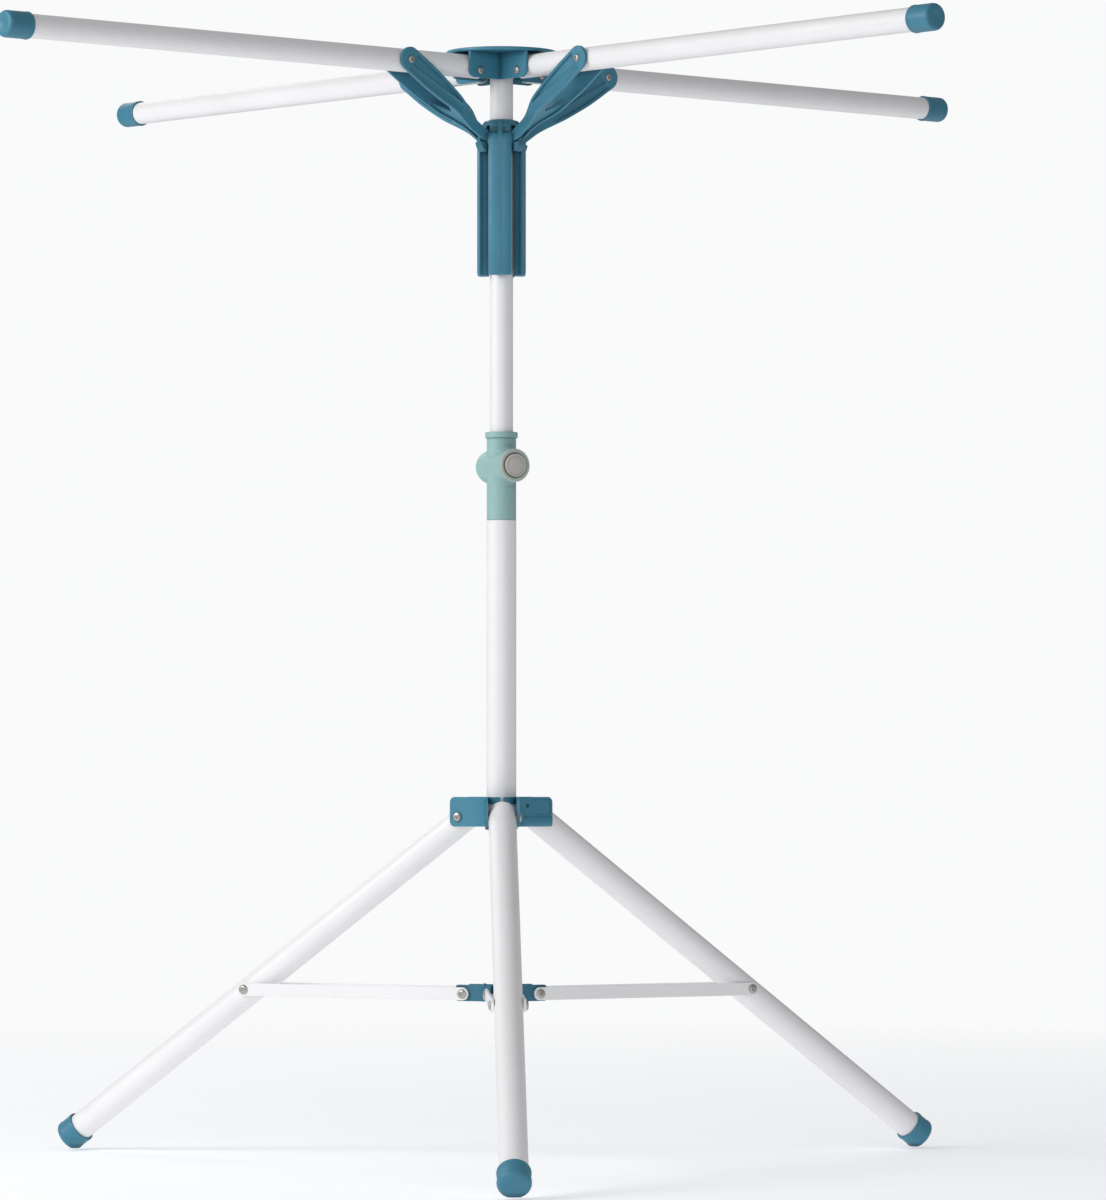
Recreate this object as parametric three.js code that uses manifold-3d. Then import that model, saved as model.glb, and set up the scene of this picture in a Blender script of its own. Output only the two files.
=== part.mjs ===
// Free-standing rotary clothesline: four fold-down arms on a turning head, a telescopic mast
// with a push-button lock, and a folding three-leg stand. Millimetres, +Z up, origin on the
// ground under the mast, +X along one arm and +Y along the next. Arms and legs are drawn opened
// out, as the airer stands in use.
import * as THREE from "three";
import { mergeVertices } from "three/addons/utils/BufferGeometryUtils.js";
import Module from "manifold-3d";

const wasm = await Module();
wasm.setup();

// ---- driving dimensions -------------------------------------------------------------------
const GAP = 0.3; // clearance between pieces that touch
const WALL = 1.2; // tube wall
const SIDES = 16; // facets round a tube
const FINE = 20; // facets round a larger moulding
const SMALL = 8; // facets round a pin or rivet
const CHEEK = 2.8; // thickness of the moulded side plates
const REACH = 1000; // longer than anything that a cutting block has to pass through

const HEIGHT = 1200; // top of the head disc
const HEAD = { discR: 61, discT: 4, skirt: 28, tip: 58, gap: 13, bossR: 12 };
const ARM = {
  r: 12.5, inner: 34, reach: 668, axisZ: 1181, pivotR: 43.5, pivotZ: 1176, capR: 14.4, capL: 31,
};
const RIVET_R = 141; // distance of the arm-strut rivet from the mast axis
const SLEEVE = { r: 26, bore: 15, bottom: 957, shoulder: 1110, crownR: 19.5, top: 1126 };
// The sleeve's slots: a wide groove outside, a slot for the strut's fork through the wall, and
// a narrow slot for the runner's ear through the crown.
const SLOT = {
  groove: 14.4, grooveR: 21, grooveTop: 1099, fork: 12, forkR: 20.2, pass: 11.4, ear: 6, earFrom: 1104.5,
};
const RUNNER = { footR: 27, footZ: 1108, ringR: 14.6, ringH: 12, ear: 5, lug: 10 };
const STRUT = { eye: 6.2, fork: 5.3, leafHalf: 13.3, leafT: 3.2, splitAt: 24, splitEnd: 58, hole: 2.6 };

const UPPER = { r: 12.5, bottom: 560, top: 1172 };
const LOWER = { r: 16, bottom: 362, top: 692.7 };
const COLLAR = { r: 15.9, top: 788, spigot: 38, ringH: 6.5, ringR: 17.6 };
const LOCK = { z: 751, heading: -64.5, r: 18, bore: 15, back: -32, front: 30, travel: 4 };

const HUB = {
  z: 362, h: 32, tip: 53.5, gap: 15.6, ringR: 20.5, bore: 16.4, band: 7.5, slit: 3.6, blind: 0.9,
};
const LEG = { r: 15, pivotR: 44, pivotZ: 372.5, tilt: 54.65, dome: 15, capR: 17.7, capL: 23, flat: 1.2 };
const BRACE = {
  z: 181.5, h: 17.6, rise: 1, pivotR: 38.5, jointAt: 330, bar: 14, barT: 3, gap: 12.2, bore: 18.6,
  ringR: 22,
};

const STAND_HEADING = -39.5; // the stand's own front, against an arm drawn along +X
const LEG_PLACES = { front: -90, right: 30, left: 150 };
const ARM_PLACES = { rear_right: 0, rear_left: 90, front_left: 180, front_right: 270 };

const rad = THREE.MathUtils.degToRad;

// ---- materials ----------------------------------------------------------------------------
const finish = (color, roughness, metalness = 0) =>
  new THREE.MeshStandardMaterial({ color, roughness, metalness });
const teal = () => finish(0x4c8ca2, 0.45);
const tealDark = () => finish(0x3a6e83, 0.5);
const mint = () => finish(0x9dbcbb, 0.55);
const white = () => finish(0xf0f0f2, 0.4, 0.1);
const silver = () => finish(0xb5b3ae, 0.35, 0.9);
const grey = () => finish(0xb6b3ae, 0.5);
const natural = () => finish(0xe6e4da, 0.6);

// ---- solids -------------------------------------------------------------------------------
// A closed three.js geometry as a solid, with its faces turned outwards.
function solid(geometry) {
  const bare = geometry.index ? geometry.toNonIndexed() : geometry.clone();
  const points = new THREE.BufferGeometry().setAttribute("position", bare.getAttribute("position"));
  const merged = mergeVertices(points, 1e-3);
  const vertProperties = new Float32Array(merged.attributes.position.array);
  const make = (triVerts) => new wasm.Manifold(new wasm.Mesh({ numProp: 3, vertProperties, triVerts }));
  const triVerts = new Uint32Array(merged.index.array);
  const made = make(triVerts);
  return made.volume() >= 0 ? made : make(triVerts.reverse());
}

const join = (...pieces) => pieces.reduce((all, next) => all.add(next));
const cut = (from, ...tools) => tools.reduce((left, tool) => left.subtract(tool), from);

// A named mesh made of a solid.
function piece(name, body, material) {
  const { numProp, vertProperties, triVerts } = body.getMesh();
  const geometry = new THREE.BufferGeometry();
  const buffer = new THREE.InterleavedBuffer(vertProperties, numProp);
  geometry.setAttribute("position", new THREE.InterleavedBufferAttribute(buffer, 3, 0));
  geometry.setIndex(new THREE.BufferAttribute(triVerts, 1));
  const flat = geometry.toNonIndexed();
  flat.computeVertexNormals();
  const mesh = new THREE.Mesh(flat, material);
  mesh.name = name;
  return mesh;
}

// A solid of revolution about Z from (radius, height) pairs; the outline closes on itself or
// ends on the axis.
function turned(outline, sides = SIDES) {
  const points = outline.map(([r, z]) => new THREE.Vector2(r, z));
  const open = outline[0][0] > 0;
  if (open) points.push(points[0].clone());
  return solid(new THREE.LatheGeometry(points, sides).rotateX(Math.PI / 2));
}

const pipe = (outer, inner, low, high, sides) =>
  turned([[inner, low], [outer, low], [outer, high], [inner, high]], sides);
const rod = (r, low, high, sides) => turned([[0, low], [r, low], [r, high], [0, high]], sides);

// A block from its lowest and highest corners.
function block([x0, y0, z0], [x1, y1, z1]) {
  const box = new THREE.BoxGeometry(x1 - x0, y1 - y0, z1 - z0);
  return solid(box.translate((x0 + x1) / 2, (y0 + y1) / 2, (z0 + z1) / 2));
}

// A shape with straight sides, from pairs of coordinates.
const polygon = (pairs) => new THREE.Shape(pairs.map(([a, b]) => new THREE.Vector2(a, b)));

// A plate in the radial plane: an (x, z) shape spread from y0 to y1.
function plate(shape, y0, y1, curveSegments = 5) {
  const slab = new THREE.ExtrudeGeometry(shape, { depth: y1 - y0, bevelEnabled: false, curveSegments });
  return solid(slab.rotateX(Math.PI / 2).translate(0, y1, 0));
}

// An outline (x, z) rectangle whose outer corners are rounded.
function roundedTip(x0, x1, z0, z1, radius) {
  const shape = new THREE.Shape();
  shape.moveTo(x0, z0);
  shape.lineTo(x1 - radius, z0);
  shape.absarc(x1 - radius, z0 + radius, radius, -Math.PI / 2, 0, false);
  shape.absarc(x1 - radius, z1 - radius, radius, 0, Math.PI / 2, false);
  shape.lineTo(x0, z1);
  return shape;
}

const moved = (body, x, y, z) => body.translate([x, y, z]);
const turnedAboutZ = (body, degrees) => body.rotate([0, 0, degrees]);
// A rod of revolution along Z laid along Y, through (x, z).
const laidAlongY = (body, x, z) => moved(body.rotate([-90, 0, 0]), x, 0, z);
const crossPin = (r, y0, y1, x, z, sides = SMALL) => laidAlongY(rod(r, y0, y1, sides), x, z);

// ---- head and arms ------------------------------------------------------------------------
const quarterTurns = [0, 90, 180, 270];

function makeHead() {
  const underDisc = HEIGHT - HEAD.discT;
  const low = underDisc - HEAD.skirt;
  const disc = turned(
    [[0, underDisc], [HEAD.discR - 1, underDisc], [HEAD.discR, underDisc + 1.2],
     [HEAD.discR - 1.2, HEIGHT], [0, HEIGHT]], 2 * SIDES);
  const boss = pipe(HEAD.bossR, 8.3, ARM.pivotZ - 1, underDisc + 1);
  const cheek = roundedTip(HEAD.gap, HEAD.tip, low, underDisc + 10, 7);
  const cheeks = [-1, 1].map((side) => {
    const near = side > 0 ? HEAD.gap : -HEAD.gap - CHEEK;
    const wall = plate(cheek, near, near + CHEEK);
    const trimmed = wall.intersect(block([0, -REACH, low - 1], [REACH, REACH, underDisc + 1]));
    return cut(trimmed, crossPin(2.6, -30, 30, ARM.pivotR, ARM.pivotZ));
  });
  const brackets = quarterTurns.map((turn) => turnedAboutZ(join(...cheeks), turn));
  return piece("head", join(disc, boss, ...brackets), teal());
}

// Rivet with a domed head at each end, across an arm or a leg.
function rivet(name, shankR, headR, halfSpan, headT) {
  const end = halfSpan + headT;
  const body = turned(
    [[0, -end], [headR * 0.7, -end], [headR, -halfSpan - GAP], [shankR, -halfSpan - GAP],
     [shankR, halfSpan + GAP], [headR, halfSpan + GAP], [headR * 0.7, end], [0, end]], SMALL);
  return piece(name, body.rotate([-90, 0, 0]), silver());
}

function makeArm(place, turn) {
  const drop = ARM.axisZ - ARM.pivotZ; // the pivot sits below the tube's own axis
  const start = ARM.inner - ARM.pivotR;
  const end = ARM.reach - ARM.pivotR;
  const along = (body) => moved(body.rotate([0, 90, 0]), 0, 0, drop);
  const tube = cut(along(pipe(ARM.r, ARM.r - WALL, start, end - 3.5)), crossPin(2.6, -30, 30, 0, 0));
  const bore = ARM.r + GAP;
  const cap = turned(
    [[bore, end - ARM.capL], [ARM.capR - 0.8, end - ARM.capL], [ARM.capR, end - ARM.capL + 1.5],
     [ARM.capR, end - 4], [ARM.capR - 1.2, end - 1.2], [ARM.capR - 4, end], [0, end], [0, end - 3],
     [bore, end - 3]]);
  const arm = new THREE.Group();
  arm.rotation.z = rad(turn);
  const hinge = new THREE.Group();
  hinge.position.set(ARM.pivotR, 0, ARM.pivotZ);
  hinge.add(piece("arm_tube_" + place, tube, white()));
  hinge.add(piece("arm_cap_" + place, along(cap), tealDark()));
  hinge.add(rivet("arm_rivet_" + place, 2.3, 4, HEAD.gap + CHEEK, 2));
  arm.add(hinge);
  return arm;
}

// ---- grooved sleeve, runner and arm struts ------------------------------------------------
function makeSleeve() {
  const body = turned(
    [[SLEEVE.bore, SLEEVE.bottom], [SLEEVE.r - 0.8, SLEEVE.bottom], [SLEEVE.r, SLEEVE.bottom + 1],
     [SLEEVE.r, SLEEVE.shoulder - 6], [SLEEVE.r - 1.2, SLEEVE.shoulder],
     [SLEEVE.crownR, SLEEVE.shoulder + 5.5], [SLEEVE.crownR, SLEEVE.top - 6],
     [SLEEVE.crownR - 5.5, SLEEVE.top], [UPPER.r + GAP, SLEEVE.top], [UPPER.r + GAP, SLEEVE.top - 3],
     [16.3, SLEEVE.top - 3], [16.3, SLEEVE.top - 5], [UPPER.r + GAP, SLEEVE.top - 5],
     [UPPER.r + GAP, SLEEVE.top - 6.5], [SLEEVE.bore, SLEEVE.top - 6.5]], FINE);
  const under = SLEEVE.bottom - 1;
  const slot = (from, width, low, high) => block([from, -width / 2, low], [REACH, width / 2, high]);
  const slots = [
    slot(SLOT.grooveR, SLOT.groove, under, SLOT.grooveTop),
    slot(SLOT.forkR, SLOT.fork, under, SLEEVE.top + 1),
    slot(SLEEVE.bore - 2, SLOT.pass, under, SLOT.earFrom),
    slot(SLEEVE.bore - 2, SLOT.ear, under, SLEEVE.top - 7),
  ];
  const tools = quarterTurns.flatMap((turn) => slots.map((tool) => turnedAboutZ(tool, turn)));
  return piece("grooved_sleeve", cut(body, ...tools), teal());
}

// Snap ring in the sleeve's crown, which holds the sleeve at its height on the mast.
function makeRetainer() {
  const ring = pipe(16, UPPER.r + GAP, SLEEVE.top - 5 + GAP, SLEEVE.top - 3 - GAP);
  return piece("sleeve_snap_ring", ring, silver());
}

function makeRunner() {
  const top = SLEEVE.top - 6.5 - 2 * GAP;
  const ring = pipe(RUNNER.ringR, UPPER.r + 0.5, top - RUNNER.ringH, top);
  const ears = quarterTurns.map((turn) => {
    const lug = plate(
      polygon([[13.8, 1099], [25.5, 1091], [33, 1098.8], [33, 1100.6], [24, 1100.6], [13.8, 1104]]),
      -RUNNER.lug / 2, RUNNER.lug / 2);
    const ear = plate(polygon([[13.8, 1097], [33, 1097], [33, 1110], [30, 1113.5], [13.8, 1113.5]]),
      -RUNNER.ear / 2, RUNNER.ear / 2);
    const pin = crossPin(2.2, -STRUT.fork, STRUT.fork, RUNNER.footR, RUNNER.footZ);
    return turnedAboutZ(join(ear, lug, pin), turn);
  });
  const tunnel = rod(UPPER.r + 0.5, 1080, 1130);
  return piece("strut_runner", cut(join(ring, ...ears), tunnel), tealDark());
}

function makeStrut(place, turn) {
  const dx = RIVET_R - RUNNER.footR;
  const dz = ARM.axisZ - RUNNER.footZ;
  const length = Math.hypot(dx, dz);
  const end = length + STRUT.leafHalf;
  const side = new THREE.Shape();
  side.absarc(0, 0, STRUT.eye, Math.PI, 2 * Math.PI, false);
  side.lineTo(STRUT.eye + 0.4, STRUT.splitAt - 2);
  side.bezierCurveTo(STRUT.eye + 2, length * 0.38, STRUT.leafHalf, length * 0.55,
    STRUT.leafHalf, length * 0.82);
  side.lineTo(STRUT.leafHalf, length);
  side.absarc(0, length, STRUT.leafHalf, 0, Math.PI, false);
  side.lineTo(-STRUT.leafHalf, length * 0.82);
  side.bezierCurveTo(-STRUT.leafHalf, length * 0.55, -STRUT.eye - 2, length * 0.38,
    -STRUT.eye - 0.4, STRUT.splitAt - 2);
  side.closePath();
  const silhouette = plate(side, -REACH / 2, REACH / 2);
  const inner = ARM.r + 0.7;
  const outer = inner + STRUT.leafT;
  const earRoom = RUNNER.ear / 2 + GAP;
  const leaf = polygon([
    [earRoom, -10], [STRUT.fork, -10], [STRUT.fork, STRUT.splitAt], [outer, STRUT.splitEnd],
    [outer, end + 1], [inner, end + 1], [inner, STRUT.splitEnd + 2], [earRoom, STRUT.splitAt + 1],
  ]);
  const leaves = [0, 180].map((flip) => {
    const slab = new THREE.ExtrudeGeometry(leaf, { depth: 60, bevelEnabled: false });
    return solid(slab.translate(0, 0, -30)).rotate([90, 0, 0]).rotate([0, 0, 90 + flip]);
  });
  const web = polygon([
    [earRoom - 1, 17], [earRoom + 1, STRUT.splitAt], [inner + 1, STRUT.splitEnd + 2],
    [inner + 1, STRUT.splitEnd + 8],
    [0, STRUT.splitEnd - 6], [-inner - 1, STRUT.splitEnd + 8], [-inner - 1, STRUT.splitEnd + 2],
    [-earRoom - 1, STRUT.splitAt], [1 - earRoom, 17],
  ]);
  const webSlab = new THREE.ExtrudeGeometry(web, { depth: 5, bevelEnabled: false });
  const bridge = solid(webSlab.translate(0, 0, -2.5)).rotate([90, 0, 0]).rotate([0, 0, 90]);
  const eyeHole = crossPin(STRUT.hole, -30, 30, 0, 0);
  const body = cut(join(...leaves, bridge).intersect(silhouette), eyeHole);
  const arm = new THREE.Group();
  arm.rotation.z = rad(turn);
  const hinge = new THREE.Group();
  hinge.position.set(RUNNER.footR, 0, RUNNER.footZ);
  hinge.rotation.y = Math.atan2(dx, dz);
  hinge.add(piece("arm_strut_" + place, body, teal()));
  arm.add(hinge);
  return arm;
}

// ---- mast ---------------------------------------------------------------------------------
function makeMast() {
  const mast = new THREE.Group();
  mast.add(piece("upper_mast_tube", pipe(UPPER.r, UPPER.r - WALL, UPPER.bottom, UPPER.top), white()));
  mast.add(piece("lower_mast_tube", pipe(LOWER.r, LOWER.r - WALL, LOWER.bottom, LOWER.top), white()));
  const slideR = LOWER.r - WALL - GAP;
  const shoe = turned(
    [[9, UPPER.bottom - 12], [slideR - 1, UPPER.bottom - 12], [slideR, UPPER.bottom - 10],
     [slideR, UPPER.bottom - GAP], [UPPER.r - WALL - GAP, UPPER.bottom - GAP],
     [UPPER.r - WALL - GAP, UPPER.bottom + 22], [9, UPPER.bottom + 22]]);
  mast.add(piece("upper_tube_slide_shoe", shoe, natural()));
  const plug = turned(
    [[11, LOWER.bottom - 3.6], [16.6, LOWER.bottom - 3.6], [17.6, LOWER.bottom - 2.6],
     [17.6, LOWER.bottom - GAP], [slideR, LOWER.bottom - GAP], [slideR, LOWER.bottom + 20],
     [11, LOWER.bottom + 20]]);
  mast.add(piece("lower_tube_stop_plug", plug, tealDark()));
  const spindle = turned(
    [[0, UPPER.top - 30], [UPPER.r - WALL - GAP, UPPER.top - 30], [UPPER.r - WALL - GAP, UPPER.top + GAP],
     [11.8, UPPER.top + GAP], [11.8, ARM.pivotZ - 1 - GAP], [8, ARM.pivotZ - 1 - GAP],
     [8, HEIGHT - HEAD.discT - GAP], [0, HEIGHT - HEAD.discT - GAP]]);
  mast.add(piece("head_bearing_spindle", spindle, natural()));
  return mast;
}

// Collar on the lower tube, with the cross barrel that holds the push-button lock.
function makeCollar() {
  const stem = LOWER.r - WALL - GAP;
  const low = LOWER.top + GAP;
  const ringSeat = COLLAR.top - COLLAR.ringH - GAP;
  const body = turned(
    [[0, low - COLLAR.spigot], [stem, low - COLLAR.spigot], [stem, low], [COLLAR.r, low],
     [COLLAR.r, ringSeat], [0, ringSeat]], FINE);
  const lying = (part) => moved(part.rotate([0, 90, 0]).rotate([0, 0, LOCK.heading]), 0, 0, LOCK.z);
  const barrel = turned(
    [[0, LOCK.back], [LOCK.r - 6, LOCK.back], [LOCK.r - 2, LOCK.back + 1.6], [LOCK.r, LOCK.back + 6],
     [LOCK.r, LOCK.front], [0, LOCK.front]], FINE);
  const cavity = rod(LOCK.bore, LOCK.back + 2.2, LOCK.front + 1, FINE);
  const tunnel = rod(UPPER.r + 0.4, 600, 800, FINE);
  const seat = rod(14.4, COLLAR.top - 16, COLLAR.top, FINE);
  const housing = cut(join(body, lying(barrel)), lying(cavity), tunnel, seat);
  const collar = new THREE.Group();
  collar.add(piece("collar_housing", housing, mint()));
  const ring = turned(
    [[UPPER.r + GAP, COLLAR.top - 14], [14.1, COLLAR.top - 14], [14.1, COLLAR.top - COLLAR.ringH],
     [COLLAR.ringR - 0.6, COLLAR.top - COLLAR.ringH], [COLLAR.ringR, COLLAR.top - COLLAR.ringH + 0.8],
     [COLLAR.ringR, COLLAR.top - 0.8], [COLLAR.ringR - 0.8, COLLAR.top], [UPPER.r + GAP, COLLAR.top]], FINE);
  collar.add(piece("collar_guide_ring", ring, mint()));
  collar.add(...makeLock(lying));
  return collar;
}

function makeLock(lying) {
  const openFor = UPPER.r + GAP;
  const hole = join(rod(openFor, -30, 30), moved(rod(openFor, -30, 30), LOCK.travel, 0, 0),
    block([0, -openFor, -30], [LOCK.travel, openFor, 30]));
  const holeAcross = hole.rotate([0, -90, 0]);
  const pocket = rod(6, -22, -17, SMALL);
  const face = LOCK.front - 2.2; // back of the button's flange
  const plunger = cut(rod(LOCK.bore - GAP, -21, face - GAP, FINE), holeAcross, pocket);
  const bezel = pipe(LOCK.r, 13, LOCK.front + GAP, LOCK.front + 3, FINE);
  const button = turned(
    [[0, face], [LOCK.bore - 0.5, face], [LOCK.bore - 0.5, LOCK.front - GAP], [12.4, LOCK.front - GAP],
     [12.4, LOCK.front + 4.6], [11.2, LOCK.front + 5.6], [0, LOCK.front + 6]], FINE);
  return [
    piece("lock_plunger", lying(plunger), natural()),
    piece("lock_bezel", lying(bezel), mint()),
    piece("lock_button", lying(button), grey()),
    piece("lock_spring", lying(makeSpring()), silver()),
  ];
}

// Compression spring behind the plunger.
function makeSpring() {
  const turns = 4;
  const coilR = 4.4;
  const wireR = 0.6;
  const from = LOCK.back + 2.2 + wireR + GAP;
  const to = -17 - wireR - GAP;
  const steps = turns * 10;
  const points = Array.from({ length: steps + 1 }, (_, i) => {
    const angle = (i / 10) * 2 * Math.PI;
    const along = from + ((to - from) * i) / steps;
    return new THREE.Vector3(coilR * Math.cos(angle), coilR * Math.sin(angle), along);
  });
  const section = new THREE.Shape();
  section.absarc(0, 0, wireR, 0, 2 * Math.PI, false);
  const extrudePath = new THREE.CatmullRomCurve3(points);
  const options = { steps, extrudePath, bevelEnabled: false, curveSegments: 3 };
  return solid(new THREE.ExtrudeGeometry(section, options));
}

// ---- stand --------------------------------------------------------------------------------
function makeHub() {
  const top = HUB.z + HUB.h;
  const ring = pipe(HUB.ringR, HUB.bore, HUB.z, top, FINE);
  const legBay = block([0, -HUB.gap, HUB.z - 1], [REACH, HUB.gap, top - HUB.band]);
  const cheeks = [-1, 1].map((side) => {
    const near = side > 0 ? HUB.gap : -HUB.gap - CHEEK;
    return plate(roundedTip(9, HUB.tip, HUB.z, top, 6), near, near + CHEEK);
  });
  // Corner web between one leg's side plate and the next one's.
  const corner = (HUB.gap + CHEEK) / Math.sin(Math.PI / 3);
  const web = polygon([[corner - 3, -1.7], [corner + 4, -7], [corner + 4, 7], [corner - 3, 1.7]]);
  const webSlab = new THREE.ExtrudeGeometry(web, { depth: HUB.h, bevelEnabled: false });
  const webs = turnedAboutZ(moved(solid(webSlab), 0, 0, HUB.z), 60);
  // The screw's hole is blind on the far side.
  const hole = crossPin(2.6, HUB.blind - HUB.gap - CHEEK, 30, LEG.pivotR, LEG.pivotZ);
  const bolted = Object.values(LEG_PLACES);
  const arms = bolted.map((heading) => turnedAboutZ(join(...cheeks, webs), heading));
  const bays = bolted.map((heading) => turnedAboutZ(join(legBay, hole), heading));
  const slit = block([5, -HUB.slit / 2, top - HUB.band - 1], [30, HUB.slit / 2, top + 1]);
  const well = rod(HUB.bore, HUB.z - 1, top + 1, FINE);
  const frontSlit = turnedAboutZ(slit, LEG_PLACES.front);
  return piece("tripod_hub", cut(join(ring, ...arms), ...bays, frontSlit, well), teal());
}

// Distance along a leg from its pivot to the foot cap's end face, for the cap to stand on z = 0.
function legLength() {
  const edge = 5;
  const tilt = rad(LEG.tilt);
  const low = LEG.pivotZ + LEG.flat - edge - (LEG.capR - edge) * Math.sin(tilt);
  return low / Math.cos(tilt) + edge;
}

function makeLeg(place, heading) {
  const end = legLength();
  const r = LEG.r;
  const inside = r - WALL;
  const dome = LEG.dome;
  const arc = (radius, top) => [0.5, 0.8, 1].map((s) => [radius * s, top - 9 * (1 - Math.sqrt(1 - s * s))]);
  const tube = turned(
    [[0, dome], ...arc(r, dome), [r, -end + 4], [inside, -end + 4],
     ...arc(inside, dome - WALL).reverse(), [0, dome - WALL]]);
  const bore = r + GAP;
  const cap = turned(
    [[bore, LEG.capL - end], [LEG.capR - 1, LEG.capL - end], [LEG.capR, LEG.capL - end - 1.5],
     [LEG.capR, 5 - end], [LEG.capR - 1.5, 1.5 - end], [LEG.capR - 5, -end], [0, -end], [0, 3 - end],
     [bore, 3 - end]]);
  const leg = new THREE.Group();
  leg.rotation.z = rad(heading);
  const hinge = new THREE.Group();
  hinge.position.set(LEG.pivotR, 0, LEG.pivotZ);
  hinge.rotation.y = -rad(LEG.tilt);
  const ground = block([-REACH, -REACH, -REACH], [REACH, REACH, 0]);
  const groundHere = moved(ground, -LEG.pivotR, 0, -LEG.pivotZ).rotate([0, LEG.tilt, 0]);
  hinge.add(piece("leg_tube_" + place, cut(tube, crossPin(2.6, -30, 30, 0, 0)), white()));
  hinge.add(piece("foot_cap_" + place, cut(cap, groundHere), tealDark()));
  const screwEnd = HUB.blind + GAP - HUB.gap - CHEEK;
  const screw = turned(
    [[0, screwEnd], [2.3, screwEnd], [2.3, HUB.gap + CHEEK + GAP],
     [4.8, HUB.gap + CHEEK + GAP], [4.2, HUB.gap + CHEEK + 2.6], [0, HUB.gap + CHEEK + 2.6]], SMALL);
  leg.add(moveTo(piece("leg_screw_" + place, screw.rotate([-90, 0, 0]), silver()), LEG.pivotR, LEG.pivotZ));
  leg.add(hinge);
  return leg;
}

function moveTo(mesh, x, z) {
  mesh.position.set(x, 0, z);
  return mesh;
}

function makeBraceHub() {
  const low = BRACE.z + BRACE.rise - BRACE.h / 2;
  const top = low + BRACE.h;
  const ring = pipe(BRACE.ringR, BRACE.bore, low, top, FINE);
  const cheeks = [-1, 1].map((side) => {
    const near = side > 0 ? BRACE.gap : -BRACE.gap - CHEEK;
    return plate(roundedTip(14, BRACE.pivotR + 9.5, low, top, 3), near, near + CHEEK);
  });
  const spread = Object.values(LEG_PLACES);
  const arms = spread.map((heading) => turnedAboutZ(join(...cheeks), heading));
  const hole = crossPin(2.4, -30, 30, BRACE.pivotR, BRACE.z);
  const holes = spread.map((heading) => turnedAboutZ(hole, heading));
  const well = rod(BRACE.bore, low - 1, top + 1, FINE);
  return piece("brace_hub", cut(join(ring, ...arms), ...holes, well), tealDark());
}

// The pair of flat bars that ties a leg to the brace hub, with the rivets at both ends. The
// outer rivets stop short of the leg, because the leg and the bars meet in an open joint.
function makeBrace(place, heading) {
  const jointR = LEG.pivotR + BRACE.jointAt * Math.sin(rad(LEG.tilt));
  const length = jointR - BRACE.pivotR;
  const half = BRACE.bar / 2;
  const near = BRACE.gap + CHEEK + GAP;
  const far = near + BRACE.barT;
  const outline = new THREE.Shape();
  outline.absarc(0, 0, half, Math.PI / 2, (3 * Math.PI) / 2, false);
  outline.absarc(length, 0, half, -Math.PI / 2, Math.PI / 2, false);
  const brace = new THREE.Group();
  brace.rotation.z = rad(heading);
  const hinge = new THREE.Group();
  hinge.position.set(BRACE.pivotR, 0, BRACE.z);
  for (const [side, sign] of [["left", 1], ["right", -1]]) {
    const blank = plate(outline, sign > 0 ? near : -far, sign > 0 ? far : -near, 8);
    const bar = cut(blank, crossPin(2.4, -30, 30, 0, 0), crossPin(2.4, -30, 30, length, 0));
    hinge.add(piece(`brace_bar_${place}_${side}`, bar, white()));
    const pin = turned(
      [[0, near + 0.4], [2.1, near + 0.4], [2.1, far + GAP], [5.2, far + GAP], [4.6, far + 2.2],
       [0, far + 2.6]], SMALL);
    const upright = pin.rotate([sign > 0 ? -90 : 90, 0, 0]);
    hinge.add(piece(`brace_end_rivet_${place}_${side}`, moved(upright, length, 0, 0), silver()));
  }
  hinge.add(rivet("brace_hub_rivet_" + place, 2.1, 5.2, far, 2.4));
  brace.add(hinge);
  return brace;
}

// ---- assembly -----------------------------------------------------------------------------
const stand = new THREE.Group();
stand.rotation.z = rad(STAND_HEADING);
stand.add(makeHub(), makeBraceHub(), makeMast(), makeCollar());
for (const [place, heading] of Object.entries(LEG_PLACES)) {
  stand.add(makeLeg(place, heading), makeBrace(place, heading));
}
const rotor = new THREE.Group();
rotor.add(makeHead(), makeSleeve(), makeRetainer(), makeRunner());
for (const [place, turn] of Object.entries(ARM_PLACES)) {
  rotor.add(makeArm(place, turn), makeStrut(place, turn));
}
const clothesline = new THREE.Group();
clothesline.add(stand, rotor);

export default clothesline;
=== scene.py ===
import math

import bmesh
import bpy
from mathutils import Matrix, Vector


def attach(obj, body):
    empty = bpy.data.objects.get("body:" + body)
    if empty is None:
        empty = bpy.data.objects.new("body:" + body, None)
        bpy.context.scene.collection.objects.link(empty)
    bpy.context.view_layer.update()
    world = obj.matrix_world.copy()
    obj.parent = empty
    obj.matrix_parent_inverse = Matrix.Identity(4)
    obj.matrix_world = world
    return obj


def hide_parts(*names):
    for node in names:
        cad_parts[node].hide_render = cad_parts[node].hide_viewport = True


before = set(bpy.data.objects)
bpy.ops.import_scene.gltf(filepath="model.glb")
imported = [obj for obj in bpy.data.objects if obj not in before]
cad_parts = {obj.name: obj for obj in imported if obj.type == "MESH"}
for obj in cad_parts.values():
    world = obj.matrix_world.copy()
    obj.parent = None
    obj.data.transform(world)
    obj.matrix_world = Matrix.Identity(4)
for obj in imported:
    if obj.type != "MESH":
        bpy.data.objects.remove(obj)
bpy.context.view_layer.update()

# ---- dimensions, in millimetres as the part has them ---------------------------------------
MM = 0.001
GAP, WALL, CHEEK = 0.3, 1.2, 2.8
HEIGHT = 1200
ARMS = {"rear_right": 0, "rear_left": 90, "front_left": 180, "front_right": 270}
LEGS = {"front": -129.5, "right": -9.5, "left": 110.5}
HEAD_R, HEAD_T, HEAD_TIP, HEAD_GAP, HEAD_LOW = 61, 4, 58, 13, 1168
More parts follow.
